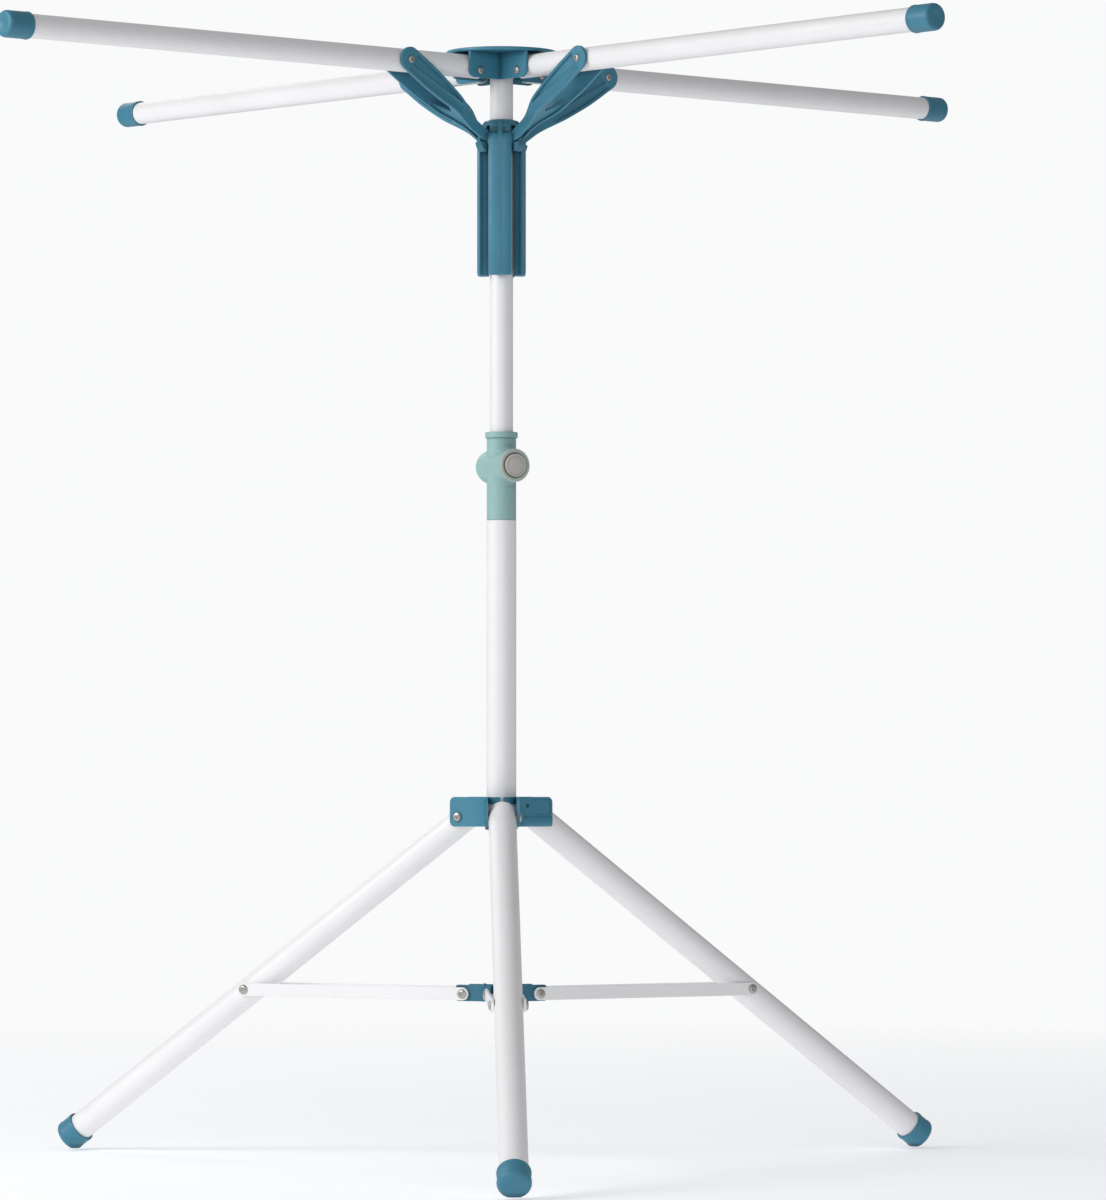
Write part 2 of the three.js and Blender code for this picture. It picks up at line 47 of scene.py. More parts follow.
ARM_R, ARM_IN, ARM_OUT, ARM_Z = 12.5, 34, 668, 1181
ARM_PIVOT, ARM_PIVOT_Z, ARM_CAP_R, ARM_CAP_L = 43.5, 1176, 14.4, 31
RIVET_AT = 141
SLEEVE_R, SLEEVE_BORE, SLEEVE_LOW, SHOULDER, CROWN_R, CROWN_TOP = 26, 15, 957, 1110, 19.5, 1126
# The sleeve's slots, from outside inwards: inner radius, width and upper end.
GROOVE, FORK_SLOT = (21, 14.4, 1099), (20.2, 12, CROWN_TOP + 1)
EAR_PASS, EAR_SLOT = (13, 11.4, 1104.5), (13, 6, CROWN_TOP - 7)
FOOT_R, FOOT_Z, RUNNER_R, RUNNER_H, EAR, LUG = 27, 1108, 14.6, 12, 5, 10
EYE, FORK, LEAF, LEAF_T, SPLIT_AT, SPLIT_END = 6.2, 5.3, 13.3, 3.2, 24, 58
UPPER_R, UPPER_LOW, UPPER_TOP = 12.5, 560, 1172
LOWER_R, LOWER_LOW, LOWER_TOP = 16, 362, 692.7
COLLAR_R, COLLAR_TOP, COLLAR_RING_R = 15.9, 788, 17.6
LOCK_Z, LOCK_HEADING, LOCK_R, LOCK_BORE, LOCK_BACK, LOCK_FRONT = 751, -104, 18, 15, -32, 30
HUB_Z, HUB_H, HUB_TIP, HUB_GAP, HUB_R = 362, 32, 53.5, 15.6, 20.5
HUB_BORE, HUB_BAND, HUB_SLIT, HUB_BLIND = 16.4, 7.5, 3.6, 0.9
LEG_R, LEG_PIVOT, LEG_PIVOT_Z, LEG_TILT = 15, 44, 372.5, 54.65
LEG_DOME, LEG_CAP_R, LEG_CAP_L = 15, 17.7, 23
BRACE_Z, BRACE_H, BRACE_RISE, BRACE_PIVOT = 181.5, 17.6, 1, 38.5
BRACE_AT, BRACE_BAR, BRACE_T, BRACE_GAP = 330, 14, 3, 12.2
BRACE_BORE, BRACE_R = 18.6, 22

ACROSS = Matrix.Rotation(math.radians(-90), 4, "X")  # a lathe along Z laid along Y
ALONG = Matrix.Rotation(math.radians(90), 4, "Y")  # a lathe along Z laid along X


def spin(degrees):
    return Matrix.Rotation(math.radians(degrees), 4, "Z")


def shift(x=0, y=0, z=0):
    return Matrix.Translation((x, y, z))


# ---- meshes --------------------------------------------------------------------------------
def mesh_of(verts, faces):
    """A closed mesh with its faces turned outwards."""
    mesh = bpy.data.meshes.new("solid")
    bm = bmesh.new()
    points = [bm.verts.new(v) for v in verts]
    for f in faces:
        ring = [points[i] for i in f]
        if len(set(f)) == len(f) and not bm.faces.get(ring):
            bm.faces.new(ring)
    bmesh.ops.remove_doubles(bm, verts=bm.verts, dist=1e-4)
    bmesh.ops.recalc_face_normals(bm, faces=bm.faces)
    bm.to_mesh(mesh)
    bm.free()
    return mesh


def lathe(profile, sides=64):
    """Revolves (radius, z) pairs about Z. The profile starts and ends on the axis, or closes."""
    on_axis = profile[0][0] < 1e-9
    verts, rows = [], []
    for r, z in profile:
        if r < 1e-9:
            rows.append([len(verts)] * sides)
            verts.append((0, 0, z))
            continue
        rows.append([len(verts) + i for i in range(sides)])
        verts += [(r * math.cos(2 * math.pi * i / sides), r * math.sin(2 * math.pi * i / sides), z)
                  for i in range(sides)]
    faces = []
    pairs = list(zip(rows, rows[1:])) + ([] if on_axis else [(rows[-1], rows[0])])
    for a, b in pairs:
        for i in range(sides):
            j = (i + 1) % sides
            corners = [a[i], a[j], b[j], b[i]]
            face = [c for k, c in enumerate(corners) if c not in corners[:k]]
            if len(face) > 2:
                faces.append(face)
    return mesh_of(verts, faces)


def slab(outline, y0, y1):
    """An (x, z) outline spread from y0 to y1."""
    n = len(outline)
    verts = [(x, y, z) for y in (y0, y1) for x, z in outline]
    faces = [list(range(n)), list(range(2 * n - 1, n - 1, -1))]
    faces += [[i, (i + 1) % n, n + (i + 1) % n, n + i] for i in range(n)]
    return mesh_of(verts, faces)


def prism(plan, z0, z1):
    """An (x, y) outline raised from z0 to z1."""
    return moved(slab([(x, -y) for x, y in plan], z0, z1), ACROSS.inverted())


def block(lo, hi):
    (x0, y0, z0), (x1, y1, z1) = lo, hi
    return slab([(x0, z0), (x1, z0), (x1, z1), (x0, z1)], y0, y1)


def arc(cx, cz, r, start, end, steps=8):
    """Points of an arc, angles in degrees from +x towards +z."""
    angles = [math.radians(start + (end - start) * i / steps) for i in range(steps + 1)]
    return [(cx + r * math.cos(a), cz + r * math.sin(a)) for a in angles]


def rounded(x0, x1, z0, z1, r):
    """A rectangle whose outer corners are rounded."""
    return [(x0, z0), *arc(x1 - r, z0 + r, r, -90, 0), *arc(x1 - r, z1 - r, r, 0, 90), (x0, z1)]


def moved(mesh, matrix):
    out = mesh.copy()
    out.transform(matrix)
    return out


def boolean(operation, base, tools, flats=True):
    """The base mesh joined with, or cut by, the tools; flats merges the faces of flat sides."""
    scene = bpy.context.scene.collection
    target = bpy.data.objects.new("base", base)
    scene.objects.link(target)
    helpers = []
    for mesh in tools:
        tool = bpy.data.objects.new("tool", mesh)
        scene.objects.link(tool)
        helpers.append(tool)
        m = target.modifiers.new("boolean", "BOOLEAN")
        m.operation, m.object, m.solver = operation, tool, "EXACT"
    graph = bpy.context.evaluated_depsgraph_get()
    out = bpy.data.meshes.new_from_object(target.evaluated_get(graph))
    for o in [target, *helpers]:
        bpy.data.objects.remove(o)
    return closed(out, flats)


def closed(mesh, flats):
    """The mesh without the slivers that a boolean leaves, and still closed."""
    bm = bmesh.new()
    bm.from_mesh(mesh)
    bmesh.ops.dissolve_degenerate(bm, dist=2e-3, edges=bm.edges)
    bmesh.ops.remove_doubles(bm, verts=bm.verts, dist=2e-3)
    if flats:
        bmesh.ops.dissolve_limit(bm, angle_limit=math.radians(0.2), verts=bm.verts, edges=bm.edges)
        bmesh.ops.dissolve_degenerate(bm, dist=2e-3, edges=bm.edges)
    else:
        bmesh.ops.triangulate(bm, faces=[f for f in bm.faces if len(f.verts) > 4])
    open_edges = [e for e in bm.edges if e.is_boundary]
    if open_edges:
        bmesh.ops.holes_fill(bm, edges=open_edges, sides=0)
    bm.to_mesh(mesh)
    bm.free()
    mesh.validate()
    return mesh


def join(base, *tools, flats=True):
    return boolean("UNION", base, tools, flats)


def cut(base, *tools, flats=True):
    return boolean("DIFFERENCE", base, tools, flats)


def pin(r, y0, y1, x=0, z=0, sides=32):
    """A rod across a radial plane."""
    return moved(lathe([(0, y0), (r, y0), (r, y1), (0, y1)], sides), shift(x, 0, z) @ ACROSS)


def rod(r, z0, z1, sides=64):
    return lathe([(0, z0), (r, z0), (r, z1), (0, z1)], sides)


def add(name, mesh, matrix, body, material, nodes=(), bevel=0.0, segments=2, crease=32):
    """Places a mesh made in millimetres into the part's frame, in metres, on its body."""
    own = mesh.copy()
    own.transform(Matrix.Scale(MM, 4) @ matrix)
    o = bpy.data.objects.new(name, own)
    bpy.context.scene.collection.objects.link(o)
    own.materials.clear()
    own.materials.append(material)
    own.polygons.foreach_set("use_smooth", [True] * len(own.polygons))
    if bevel:
        m = o.modifiers.new("edge", "BEVEL")
        m.width, m.segments, m.limit_method = bevel * MM, segments, "ANGLE"
        m.angle_limit = math.radians(crease)
        m.harden_normals = True
        m.miter_outer = "MITER_ARC"
    else:
        own.set_sharp_from_angle(angle=math.radians(crease))
    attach(o, body)
    if nodes:
        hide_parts(*nodes)
    return o


# ---- materials -----------------------------------------------------------------------------
def linear(hexcode):
    values = [int(hexcode[i:i + 2], 16) / 255 for i in (0, 2, 4)]
    return [v / 12.92 if v <= 0.04045 else ((v + 0.055) / 1.055) ** 2.4 for v in values] + [1]


def shade(colour, factor):
    return [min(1, c * factor) for c in colour[:3]] + [1]


class Nodes:
    """A material's node tree, with short ways to add and link nodes."""

    def __init__(self, name):
        self.material = bpy.data.materials.new(name)
        self.material.use_nodes = True
        self.tree = self.material.node_tree
        self.bsdf = self.tree.nodes["Principled BSDF"]
        self.coordinates = self.tree.nodes.new("ShaderNodeTexCoord").outputs["Object"]

    def node(self, kind, **inputs):
        n = self.tree.nodes.new(kind)
        for key, value in inputs.items():
            socket = n.inputs[key.replace("_", " ")]
            if isinstance(value, bpy.types.NodeSocket):
                self.tree.links.new(value, socket)
            else:
                socket.default_value = value
        return n

    def noise(self, scale, detail=3.0, stretch=None, rough=0.55):
        vector = self.coordinates
        if stretch:
            vector = self.node("ShaderNodeMapping", Vector=vector, Scale=stretch).outputs[0]
        return self.node("ShaderNodeTexNoise", Vector=vector, Scale=scale, Detail=detail,
                         Roughness=rough).outputs[0]

    def ramp(self, value, low, high, out_low=0.0, out_high=1.0):
        n = self.node("ShaderNodeMapRange", Value=value)
        for key, v in (("From Min", low), ("From Max", high), ("To Min", out_low), ("To Max", out_high)):
            n.inputs[key].default_value = v
        return n.outputs[0]

    def mix(self, factor, a, b):
        n = self.tree.nodes.new("ShaderNodeMix")
        n.data_type = "RGBA"
        for index, value in ((0, factor), (6, a), (7, b)):
            if isinstance(value, bpy.types.NodeSocket):
                self.tree.links.new(value, n.inputs[index])
            else:
                n.inputs[index].default_value = value
        return n.outputs[2]

    def multiply(self, a, b):
        n = self.tree.nodes.new("ShaderNodeMath")
        n.operation = "MULTIPLY"
        self.tree.links.new(a, n.inputs[0])
        if isinstance(b, bpy.types.NodeSocket):
            self.tree.links.new(b, n.inputs[1])
        else:
            n.inputs[1].default_value = b
        return n.outputs[0]

    def edges(self, radius=0.0012):
        """1 along edges, broken up by noise; it masks paler edges that are partly wear and partly painted
        highlight.
        """
        soft = self.node("ShaderNodeBevel", Radius=radius)
        soft.samples = 4
        facing = self.tree.nodes.new("ShaderNodeNewGeometry").outputs["Normal"]
        turn = self.node("ShaderNodeVectorMath", Vector=soft.outputs[0])
        turn.operation = "DOT_PRODUCT"
        self.tree.links.new(facing, turn.inputs[1])
        return self.multiply(self.ramp(turn.outputs["Value"], 0.985, 0.85),
                             self.ramp(self.noise(140, 4), 0.35, 0.65, 0.3, 1.0))

    def recess_shade(self, distance=0.008):
        """A mask for painted shade, from ambient occlusion: 0 deep in a hollow, 1 on an open face."""
        open_sky = self.node("ShaderNodeAmbientOcclusion", Distance=distance)
        open_sky.samples = 6
        return self.ramp(open_sky.outputs["AO"], 0.3, 0.97)

    def bump(self, height, strength, distance, after=None):
        n = self.node("ShaderNodeBump", Height=height, Strength=strength, Distance=distance)
        if after:
            self.tree.links.new(after, n.inputs["Normal"])
        return n.outputs[0]

    def done(self, colour, roughness, normal, **constants):
        self.tree.links.new(colour, self.bsdf.inputs["Base Color"])
        self.tree.links.new(roughness, self.bsdf.inputs["Roughness"])
        self.tree.links.new(normal, self.bsdf.inputs["Normal"])
        for key, value in constants.items():
            self.bsdf.inputs[key.replace("_", " ")].default_value = value
        return self.material


def moulded(name, hexcode, roughness=0.4, edge_wear_and_highlight=1.55):
    """Injection-moulded plastic: cloudy colour, a fine spark-eroded skin, paler edges that are partly
    rubbed wear and partly painted highlight, and painted shade in hollows.
    """
    n = Nodes(name)
    base = linear(hexcode)
    cloud = n.ramp(n.noise(18, 5), 0.3, 0.7)
    speck = n.ramp(n.noise(420, 2), 0.35, 0.7)
    colour = n.mix(cloud, shade(base, 0.9), shade(base, 1.08))
    colour = n.mix(n.multiply(speck, 0.22), colour, shade(base, 1.2))
    # paler edges: partly rubbed wear, partly a painted highlight along the edges
    colour = n.mix(n.multiply(n.edges(), 0.7), colour, shade(base, edge_wear_and_highlight))
    # painted shade: the colour darkens in hollows, creases and pockets, where less light reaches
    colour = n.mix(n.recess_shade(), shade(base, 0.42), colour)
    rough = n.ramp(n.noise(65, 4), 0.25, 0.75, roughness - 0.07, roughness + 0.1)
    skin = n.bump(n.noise(1500, 2), 0.12, 0.00025)
    flow = n.bump(n.noise(34, 3), 0.1, 0.0015, skin)
    return n.done(colour, rough, flow, Specular_IOR_Level=0.45)


def coated(name, hexcode):
    """White powder coat on steel tube: a soft orange-peel skin and faint draw lines."""
    n = Nodes(name)
    base = linear(hexcode)
    cloud = n.ramp(n.noise(9, 4), 0.3, 0.7)
    mark = n.ramp(n.noise(160, 5, rough=0.7), 0.62, 0.78)
    colour = n.mix(cloud, shade(base, 0.965), shade(base, 1.015))
    colour = n.mix(n.multiply(mark, 0.12), colour, shade(base, 0.8))
    rough = n.ramp(n.noise(40, 4), 0.25, 0.75, 0.3, 0.44)
    peel = n.bump(n.noise(620, 2), 0.1, 0.0004)
    drawn = n.bump(n.noise(55, 2), 0.07, 0.0012, peel)
    return n.done(colour, rough, drawn, Specular_IOR_Level=0.5)


def zinc(name, hexcode, roughness=0.36):
    """Zinc-plated steel: brushed, slightly mottled."""
    n = Nodes(name)
    base = linear(hexcode)
    spangle = n.ramp(n.noise(480, 3), 0.35, 0.65)
    colour = n.mix(spangle, shade(base, 0.82), shade(base, 1.1))
    # brighter edges: partly wear, partly a painted highlight along the edges
    colour = n.mix(n.multiply(n.edges(), 0.4), colour, shade(base, 1.25))
    rough = n.ramp(n.noise(300, 4), 0.3, 0.7, roughness - 0.1, roughness + 0.14)
    brushed = n.bump(n.noise(1900, 2), 0.15, 0.0001)
    return n.done(colour, rough, brushed, Metallic=0.9)


TEAL = moulded("Teal_plastic", "3f8199")
DARK = moulded("Teal_plastic_dark", "336f86")
MINT = moulded("Mint_plastic", "94b9b8", 0.5, 1.15)
BUTTON = moulded("Button_plastic", "bdb9b3", 0.42, 1.12)
NYLON = moulded("Natural_nylon", "dedccf", 0.5, 1.08)
WHITE = coated("White_coated_steel", "f1f0f1")
SILVER = zinc("Zinc_steel", "b9b6b0")

# ---- head ----------------------------------------------------------------------------------
QUARTERS = [0, 90, 180, 270]
DISC_LOW = HEIGHT - HEAD_T


def make_head():
    r = HEAD_R
    disc = lathe([(0, DISC_LOW + 0.6), (r - 8, DISC_LOW + 0.6), (r - 5.5, DISC_LOW), (r - 1.6, DISC_LOW),
                  (r - 0.4, DISC_LOW + 0.6), (r, DISC_LOW + 1.8), (r - 0.3, HEIGHT - 0.9),
                  (r - 1.4, HEIGHT - 0.1),
                  (r - 2.6, HEIGHT - 0.02), (r - 4.4, HEIGHT - 0.02), (r - 5.4, HEIGHT - 0.8),
                  (16, HEIGHT - 0.8),
                  (15.2, HEIGHT - 1.7), (13.4, HEIGHT - 1.7), (12.6, HEIGHT - 0.6), (0, HEIGHT - 0.3)], 128)
    boss = lathe([(8.3, ARM_PIVOT_Z - 1), (12, ARM_PIVOT_Z - 1), (12, DISC_LOW + 1.5),
                  (8.3, DISC_LOW + 1.5)])
    walls = []
    for turn in QUARTERS:
        for near in (HEAD_GAP, -HEAD_GAP - CHEEK):
            wall = slab([(HEAD_GAP, HEAD_LOW), *arc(HEAD_TIP - 7, HEAD_LOW + 7, 7, -90, 0),
                         (HEAD_TIP, DISC_LOW + 1.5), (HEAD_GAP, DISC_LOW + 1.5)], near, near + CHEEK)
            walls.append(moved(wall, spin(turn)))
    holes = [moved(pin(2.6, -30, 30, ARM_PIVOT, ARM_PIVOT_Z), spin(turn)) for turn in QUARTERS]
    whole = cut(join(disc, boss, *walls), *holes)
    add("head_moulding", whole, Matrix(), "rotor", TEAL, ["head"], 0.45)


def rivet_profile(shank, head, half, height):
    """Domed rivet with a dimple in each head."""
    top = [(head, half + GAP), (head, half + GAP + 0.3 * height), (head * 0.86, half + height * 0.78),
           (head * 0.6, half + height), (head * 0.34, half + height), (head * 0.22, half + height * 0.55),
           (0, half + height * 0.5)]
    bottom = [(r, -z) for r, z in reversed(top)]
    return bottom + [(shank, -half - GAP), (shank, half + GAP)] + top


def make_arms():
    inner = ARM_R - WALL
    end = ARM_OUT - 3.5
    tube = moved(lathe([(inner, ARM_IN), (ARM_R - 0.4, ARM_IN), (ARM_R, ARM_IN + 0.5), (ARM_R, end),
                        (inner, end)], 72),
                 shift(0, 0, ARM_Z) @ ALONG)
    tube = cut(tube, pin(2.6, -30, 30, ARM_PIVOT, ARM_PIVOT_Z))
    bore, low, r = ARM_R + GAP, ARM_OUT - ARM_CAP_L, ARM_CAP_R
    cap = lathe([(bore, low), (r - 0.9, low), (r - 0.3, low + 0.4), (r, low + 1.2), (r, low + 3),
                 (r - 0.35, low + 3.5), (r - 0.35, ARM_OUT - 4.4), (r - 0.6, ARM_OUT - 2.6),
                 (r - 1.4, ARM_OUT - 1.1),
                 (r - 2.6, ARM_OUT - 0.3), (r - 4.2, ARM_OUT - 0.05), (5.2, ARM_OUT - 0.15),
                 (4.4, ARM_OUT - 0.6), (0, ARM_OUT - 0.6),
                 (0, ARM_OUT - 3), (bore, ARM_OUT - 3)], 72)
    cap = moved(cap, shift(0, 0, ARM_Z) @ ALONG)
    rivet = moved(lathe(rivet_profile(2.3, 4, HEAD_GAP + CHEEK, 2), 40),
                  shift(ARM_PIVOT, 0, ARM_PIVOT_Z) @ ACROSS)
    for place, turn in ARMS.items():
        add(f"arm_tube_{place}_coated", tube, spin(turn), f"arm_{place}", WHITE,
            [f"arm_tube_{place}"])
        add(f"arm_cap_{place}_moulded", cap, spin(turn), f"arm_{place}", CAP,
            [f"arm_cap_{place}"])
        add(f"arm_rivet_{place}_domed", rivet, spin(turn), "rotor", SILVER,
            [f"arm_rivet_{place}"])


# ---- arm struts ----------------------------------------------------------------------------
STRUT_DX, STRUT_DZ = RIVET_AT - FOOT_R, ARM_Z - FOOT_Z
STRUT_L = math.hypot(STRUT_DX, STRUT_DZ)


def smooth(t):
    t = min(1.0, max(0.0, t))
    return t * t * (3 - 2 * t)


def leaf_half(z):
    """Half width of a strut leaf at height z along it."""
    if z < 0:
        return math.sqrt(max(0.0, EYE * EYE - z * z))
    if z > STRUT_L:
        return math.sqrt(max(0.0, LEAF * LEAF - (z - STRUT_L) ** 2))
    return EYE + (LEAF - EYE) * smooth((z - 16) / (STRUT_L * 0.82 - 16)) ** 0.9


def leaf_base(z):
    """How far the leaf's inner face stands from the strut's middle plane at height z."""
    low, high = EAR / 2 + GAP, ARM_R + 0.7
    return low + (high - low) * smooth((z - SPLIT_AT + 6) / (SPLIT_END - SPLIT_AT + 8))


def leaf_relief(x, z):
    """Height of the moulded relief on a leaf's outer face: rim, sunk pocket, slanting ridge."""
    edge = leaf_half(z) - abs(x)
    if z > STRUT_L:
        edge = LEAF - math.hypot(x, z - STRUT_L)
    pocket = smooth((edge - 3.0) / 0.8) * smooth((z - 38) / 14) * smooth((STRUT_L - 3 - z) / 5)
    boss = 1 - smooth((math.hypot(x, z - STRUT_L) - 5.4) / 1.6)
    slant = x + 4.5 - (z - 46) * 0.105
    ridge = math.exp(-(slant / 1.2) ** 2) * pocket
    step = smooth((slant - 0.6) / 1.0) * pocket * 0.3
    return max(boss, min(1, 1 - pocket + 0.75 * ridge + step))


def make_leaf(side):
    """One leaf of a strut as a closed sheet, on the side given by the sign."""
    across, low, high = 44, -EYE, STRUT_L + LEAF
    rows = 150
    heights = []
    for i in range(rows + 1):
        t = i / rows
        heights.append(low + (high - low) * (t + 0.5 * (smooth(t) - t)))
    verts, outer, inner = [], [], []
    for z in heights:
        w, base = leaf_half(z), leaf_base(z)
        thick = 2.5 + (LEAF_T - 2.5) * smooth((z - 12) / 30)
        for row, face in ((outer, True), (inner, False)):
            row.append([])
            for k in range(across + 1):
                x = w * math.sin(math.pi / 2 * (2 * k / across - 1))
                rim = min(1.0, smooth((w - abs(x) + 0.35) / 1.1))
                depth = thick * (0.2 + 0.8 * leaf_relief(x, z)) * (0.75 + 0.25 * rim) if face else 0
                row[-1].append(len(verts))
                verts.append((x, side * (base + depth), z))
    faces = []
    for sheet in (outer, inner):
        for a, b in zip(sheet, sheet[1:]):
            faces += [[a[k], a[k + 1], b[k + 1], b[k]] for k in range(across)]
    for a, b in zip(range(rows), range(1, rows + 1)):
        for k in (0, across):
            faces.append([outer[a][k], outer[b][k], inner[b][k], inner[a][k]])
    for end in (0, rows):
        for k in range(across):
            faces.append([outer[end][k], outer[end][k + 1], inner[end][k + 1], inner[end][k]])
    return mesh_of(verts, faces)


def make_web():
    """The curved wall that joins a strut's two leaves on its under side, with a V-shaped top edge."""
    across, rows, thick = 24, 30, 2.2
    verts, front, back = [], [], []
    for i in range(rows + 1):
        for row, deep in ((front, 0), (back, thick)):
            row.append([])
            for k in range(across + 1):
                u = 2 * k / across - 1
                top = 50 + 22 * abs(u) ** 1.3
                z = 15 + (top - 15) * i / rows
                y = u * (leaf_base(z) + 0.9)
                x = leaf_half(z) * (0.62 + 0.1 * abs(u)) - deep
                row[-1].append(len(verts))
                verts.append((x, y, z))
    faces = []
    for sheet in (front, back):
        for a, b in zip(sheet, sheet[1:]):
            faces += [[a[k], a[k + 1], b[k + 1], b[k]] for k in range(across)]
    for a in range(rows):
        for k in (0, across):
            faces.append([front[a][k], front[a + 1][k], back[a + 1][k], back[a][k]])
    for end in (0, rows):
        for k in range(across):
            faces.append([front[end][k], front[end][k + 1], back[end][k + 1], back[end][k]])
    return mesh_of(verts, faces)


def make_struts():
    lean = Matrix.Rotation(math.atan2(STRUT_DX, STRUT_DZ), 4, "Y")
    body = join(make_leaf(1), make_leaf(-1), make_web(), flats=False)
    body = cut(body, pin(2.35, -30, 30), flats=False)
    outside = ARM_R + 0.7 + LEAF_T
    head = lathe([(0, -2.2), (2.1, -2.2), (2.1, 0.05), (3.9, 0.05), (3.9, 0.7), (3.3, 1.35), (2.3, 1.7),
                  (1.7, 1.6),
                  (1.4, 0.2), (0, 0)], 40)
    for place, turn in ARMS.items():
        at = spin(turn) @ shift(FOOT_R, 0, FOOT_Z) @ lean
        add(f"arm_strut_{place}_moulded", body, at, f"strut_{place}", TEAL,
            [f"arm_strut_{place}"], crease=40)
        for side, flip in (("left", -90), ("right", 90)):
            facing = Matrix.Rotation(math.radians(flip), 4, "X")
            out = 1 if flip < 0 else -1
            add(f"arm_strut_rivet_{place}_{side}", head, at @ shift(0, out * outside, STRUT_L) @ facing,
                f"strut_{place}", SILVER)


# ---- sleeve and runner ---------------------------------------------------------------------
def make_sleeve():
    top, low, r = CROWN_TOP, SLEEVE_LOW, SLEEVE_R
    near = UPPER_R + GAP
    body = lathe([(SLEEVE_BORE, low), (r - 0.8, low), (r - 0.2, low + 0.4), (r, low + 1.2),
                  (r, SHOULDER - 6),
                  (r - 0.4, SHOULDER - 2.6), (r - 1.4, SHOULDER), (r - 3.6, SHOULDER + 2.6),
                  (CROWN_R + 0.6, SHOULDER + 5),
                  (CROWN_R, SHOULDER + 6.4), (CROWN_R, top - 6.6), (CROWN_R - 0.5, top - 4.8),
                  (CROWN_R - 2, top - 2.6),
                  (CROWN_R - 4, top - 0.9), (CROWN_R - 5.8, top - 0.1), (near + 0.2, top),
                  (near, top - 0.3), (near, top - 3),
                  (16.3, top - 3), (16.3, top - 5), (near, top - 5), (near, top - 6.5),
                  (SLEEVE_BORE, top - 6.5)], 144)
    spine = slab([(r - 3, SHOULDER - 8), (r + 0.35, SHOULDER - 7), (r + 0.35, low + 3), (r - 1, low + 1.5),
                  (r - 3, low + 1.5)],
                 -0.9, 0.9)
    rib = slab([(17, SHOULDER - 9), (17, top - 7), (15.2, top - 2), (15.2, top - 0.5), (18, top - 1.6),
                (20.2, top - 4.4),
                (20.8, top - 7.4), (22.4, SHOULDER + 5), (r - 0.2, SHOULDER), (r + 0.35, SHOULDER - 6),
                (r + 0.35, SHOULDER - 9)],
               -2.45, 2.45)
    body = join(body, *[moved(m, spin(turn + 45)) for turn in QUARTERS for m in (spine, rib)])
    tools = []
    for turn in QUARTERS:
        for inner, width, high in (GROOVE, FORK_SLOT, EAR_PASS, EAR_SLOT):
            tools.append(moved(block((inner, -width / 2, low - 1), (100, width / 2, high)), spin(turn)))
        for side in (1, -1):
            pocket = slab([(16.2, top - 4.7), (16.2, top - 2.2), (17.4, top - 1.2), (24, top + 1),
                           (24, top - 4.7)],
                          *sorted((side * 3.2, side * 8.4)))
            arch = slab([(17.4, SHOULDER + 7.4), (17.4, SHOULDER + 2.2), (19.4, SHOULDER + 0.2),
                         (30, SHOULDER + 0.2),
                         (30, SHOULDER + 7.4)], *sorted((side * 3.2, side * 10.8)))
            tools += [moved(pocket, spin(turn + 45)), moved(arch, spin(turn + 45))]
    body = cut(body, *tools)
    add("grooved_sleeve_moulded", body, Matrix(), "rotor", TEAL, ["grooved_sleeve"], 0.35)
    ring = lathe([(near, top - 4.7), (16, top - 4.7), (16, top - 3.3), (near, top - 3.3)])
    add("sleeve_snap_ring_steel", ring, Matrix(), "upper_mast", SILVER, ["sleeve_snap_ring"],
        0.15)


def make_runner():
    top = CROWN_TOP - 6.5 - 2 * GAP
    inner = UPPER_R + 0.5
    ring = lathe([(inner, top - RUNNER_H), (RUNNER_R, top - RUNNER_H), (RUNNER_R, top), (inner, top)])
    parts = []
    for turn in QUARTERS:
        lug = slab([(13.8, 1099), (23, 1090.4), (26, 1090.2), (29, 1092), (31.4, 1094.8), (32.7, 1097.8),
                    (33, 1100.6),
                    (24, 1100.6), (13.8, 1104)], -LUG / 2, LUG / 2)
        ear = slab([(13.8, 1097), (33, 1097), (33, 1110), (30, 1113.5), (13.8, 1113.5)], -EAR / 2, EAR / 2)
        parts += [moved(m, spin(turn)) for m in (lug, ear, pin(2.2, -FORK, FORK, FOOT_R, FOOT_Z))]
    body = cut(join(ring, *parts), rod(inner, 1080, 1130))
    add("strut_runner_moulded", body, Matrix(), "runner", DARK, ["strut_runner"], 0.8,
        3)


# ---- mast ----------------------------------------------------------------------------------
def pipe(outer, inner, low, high, soft=0.4, sides=96):
    return lathe([(inner, low), (outer - soft, low), (outer, low + soft), (outer, high - soft),
                  (outer - soft, high), (inner, high)],
                 sides)


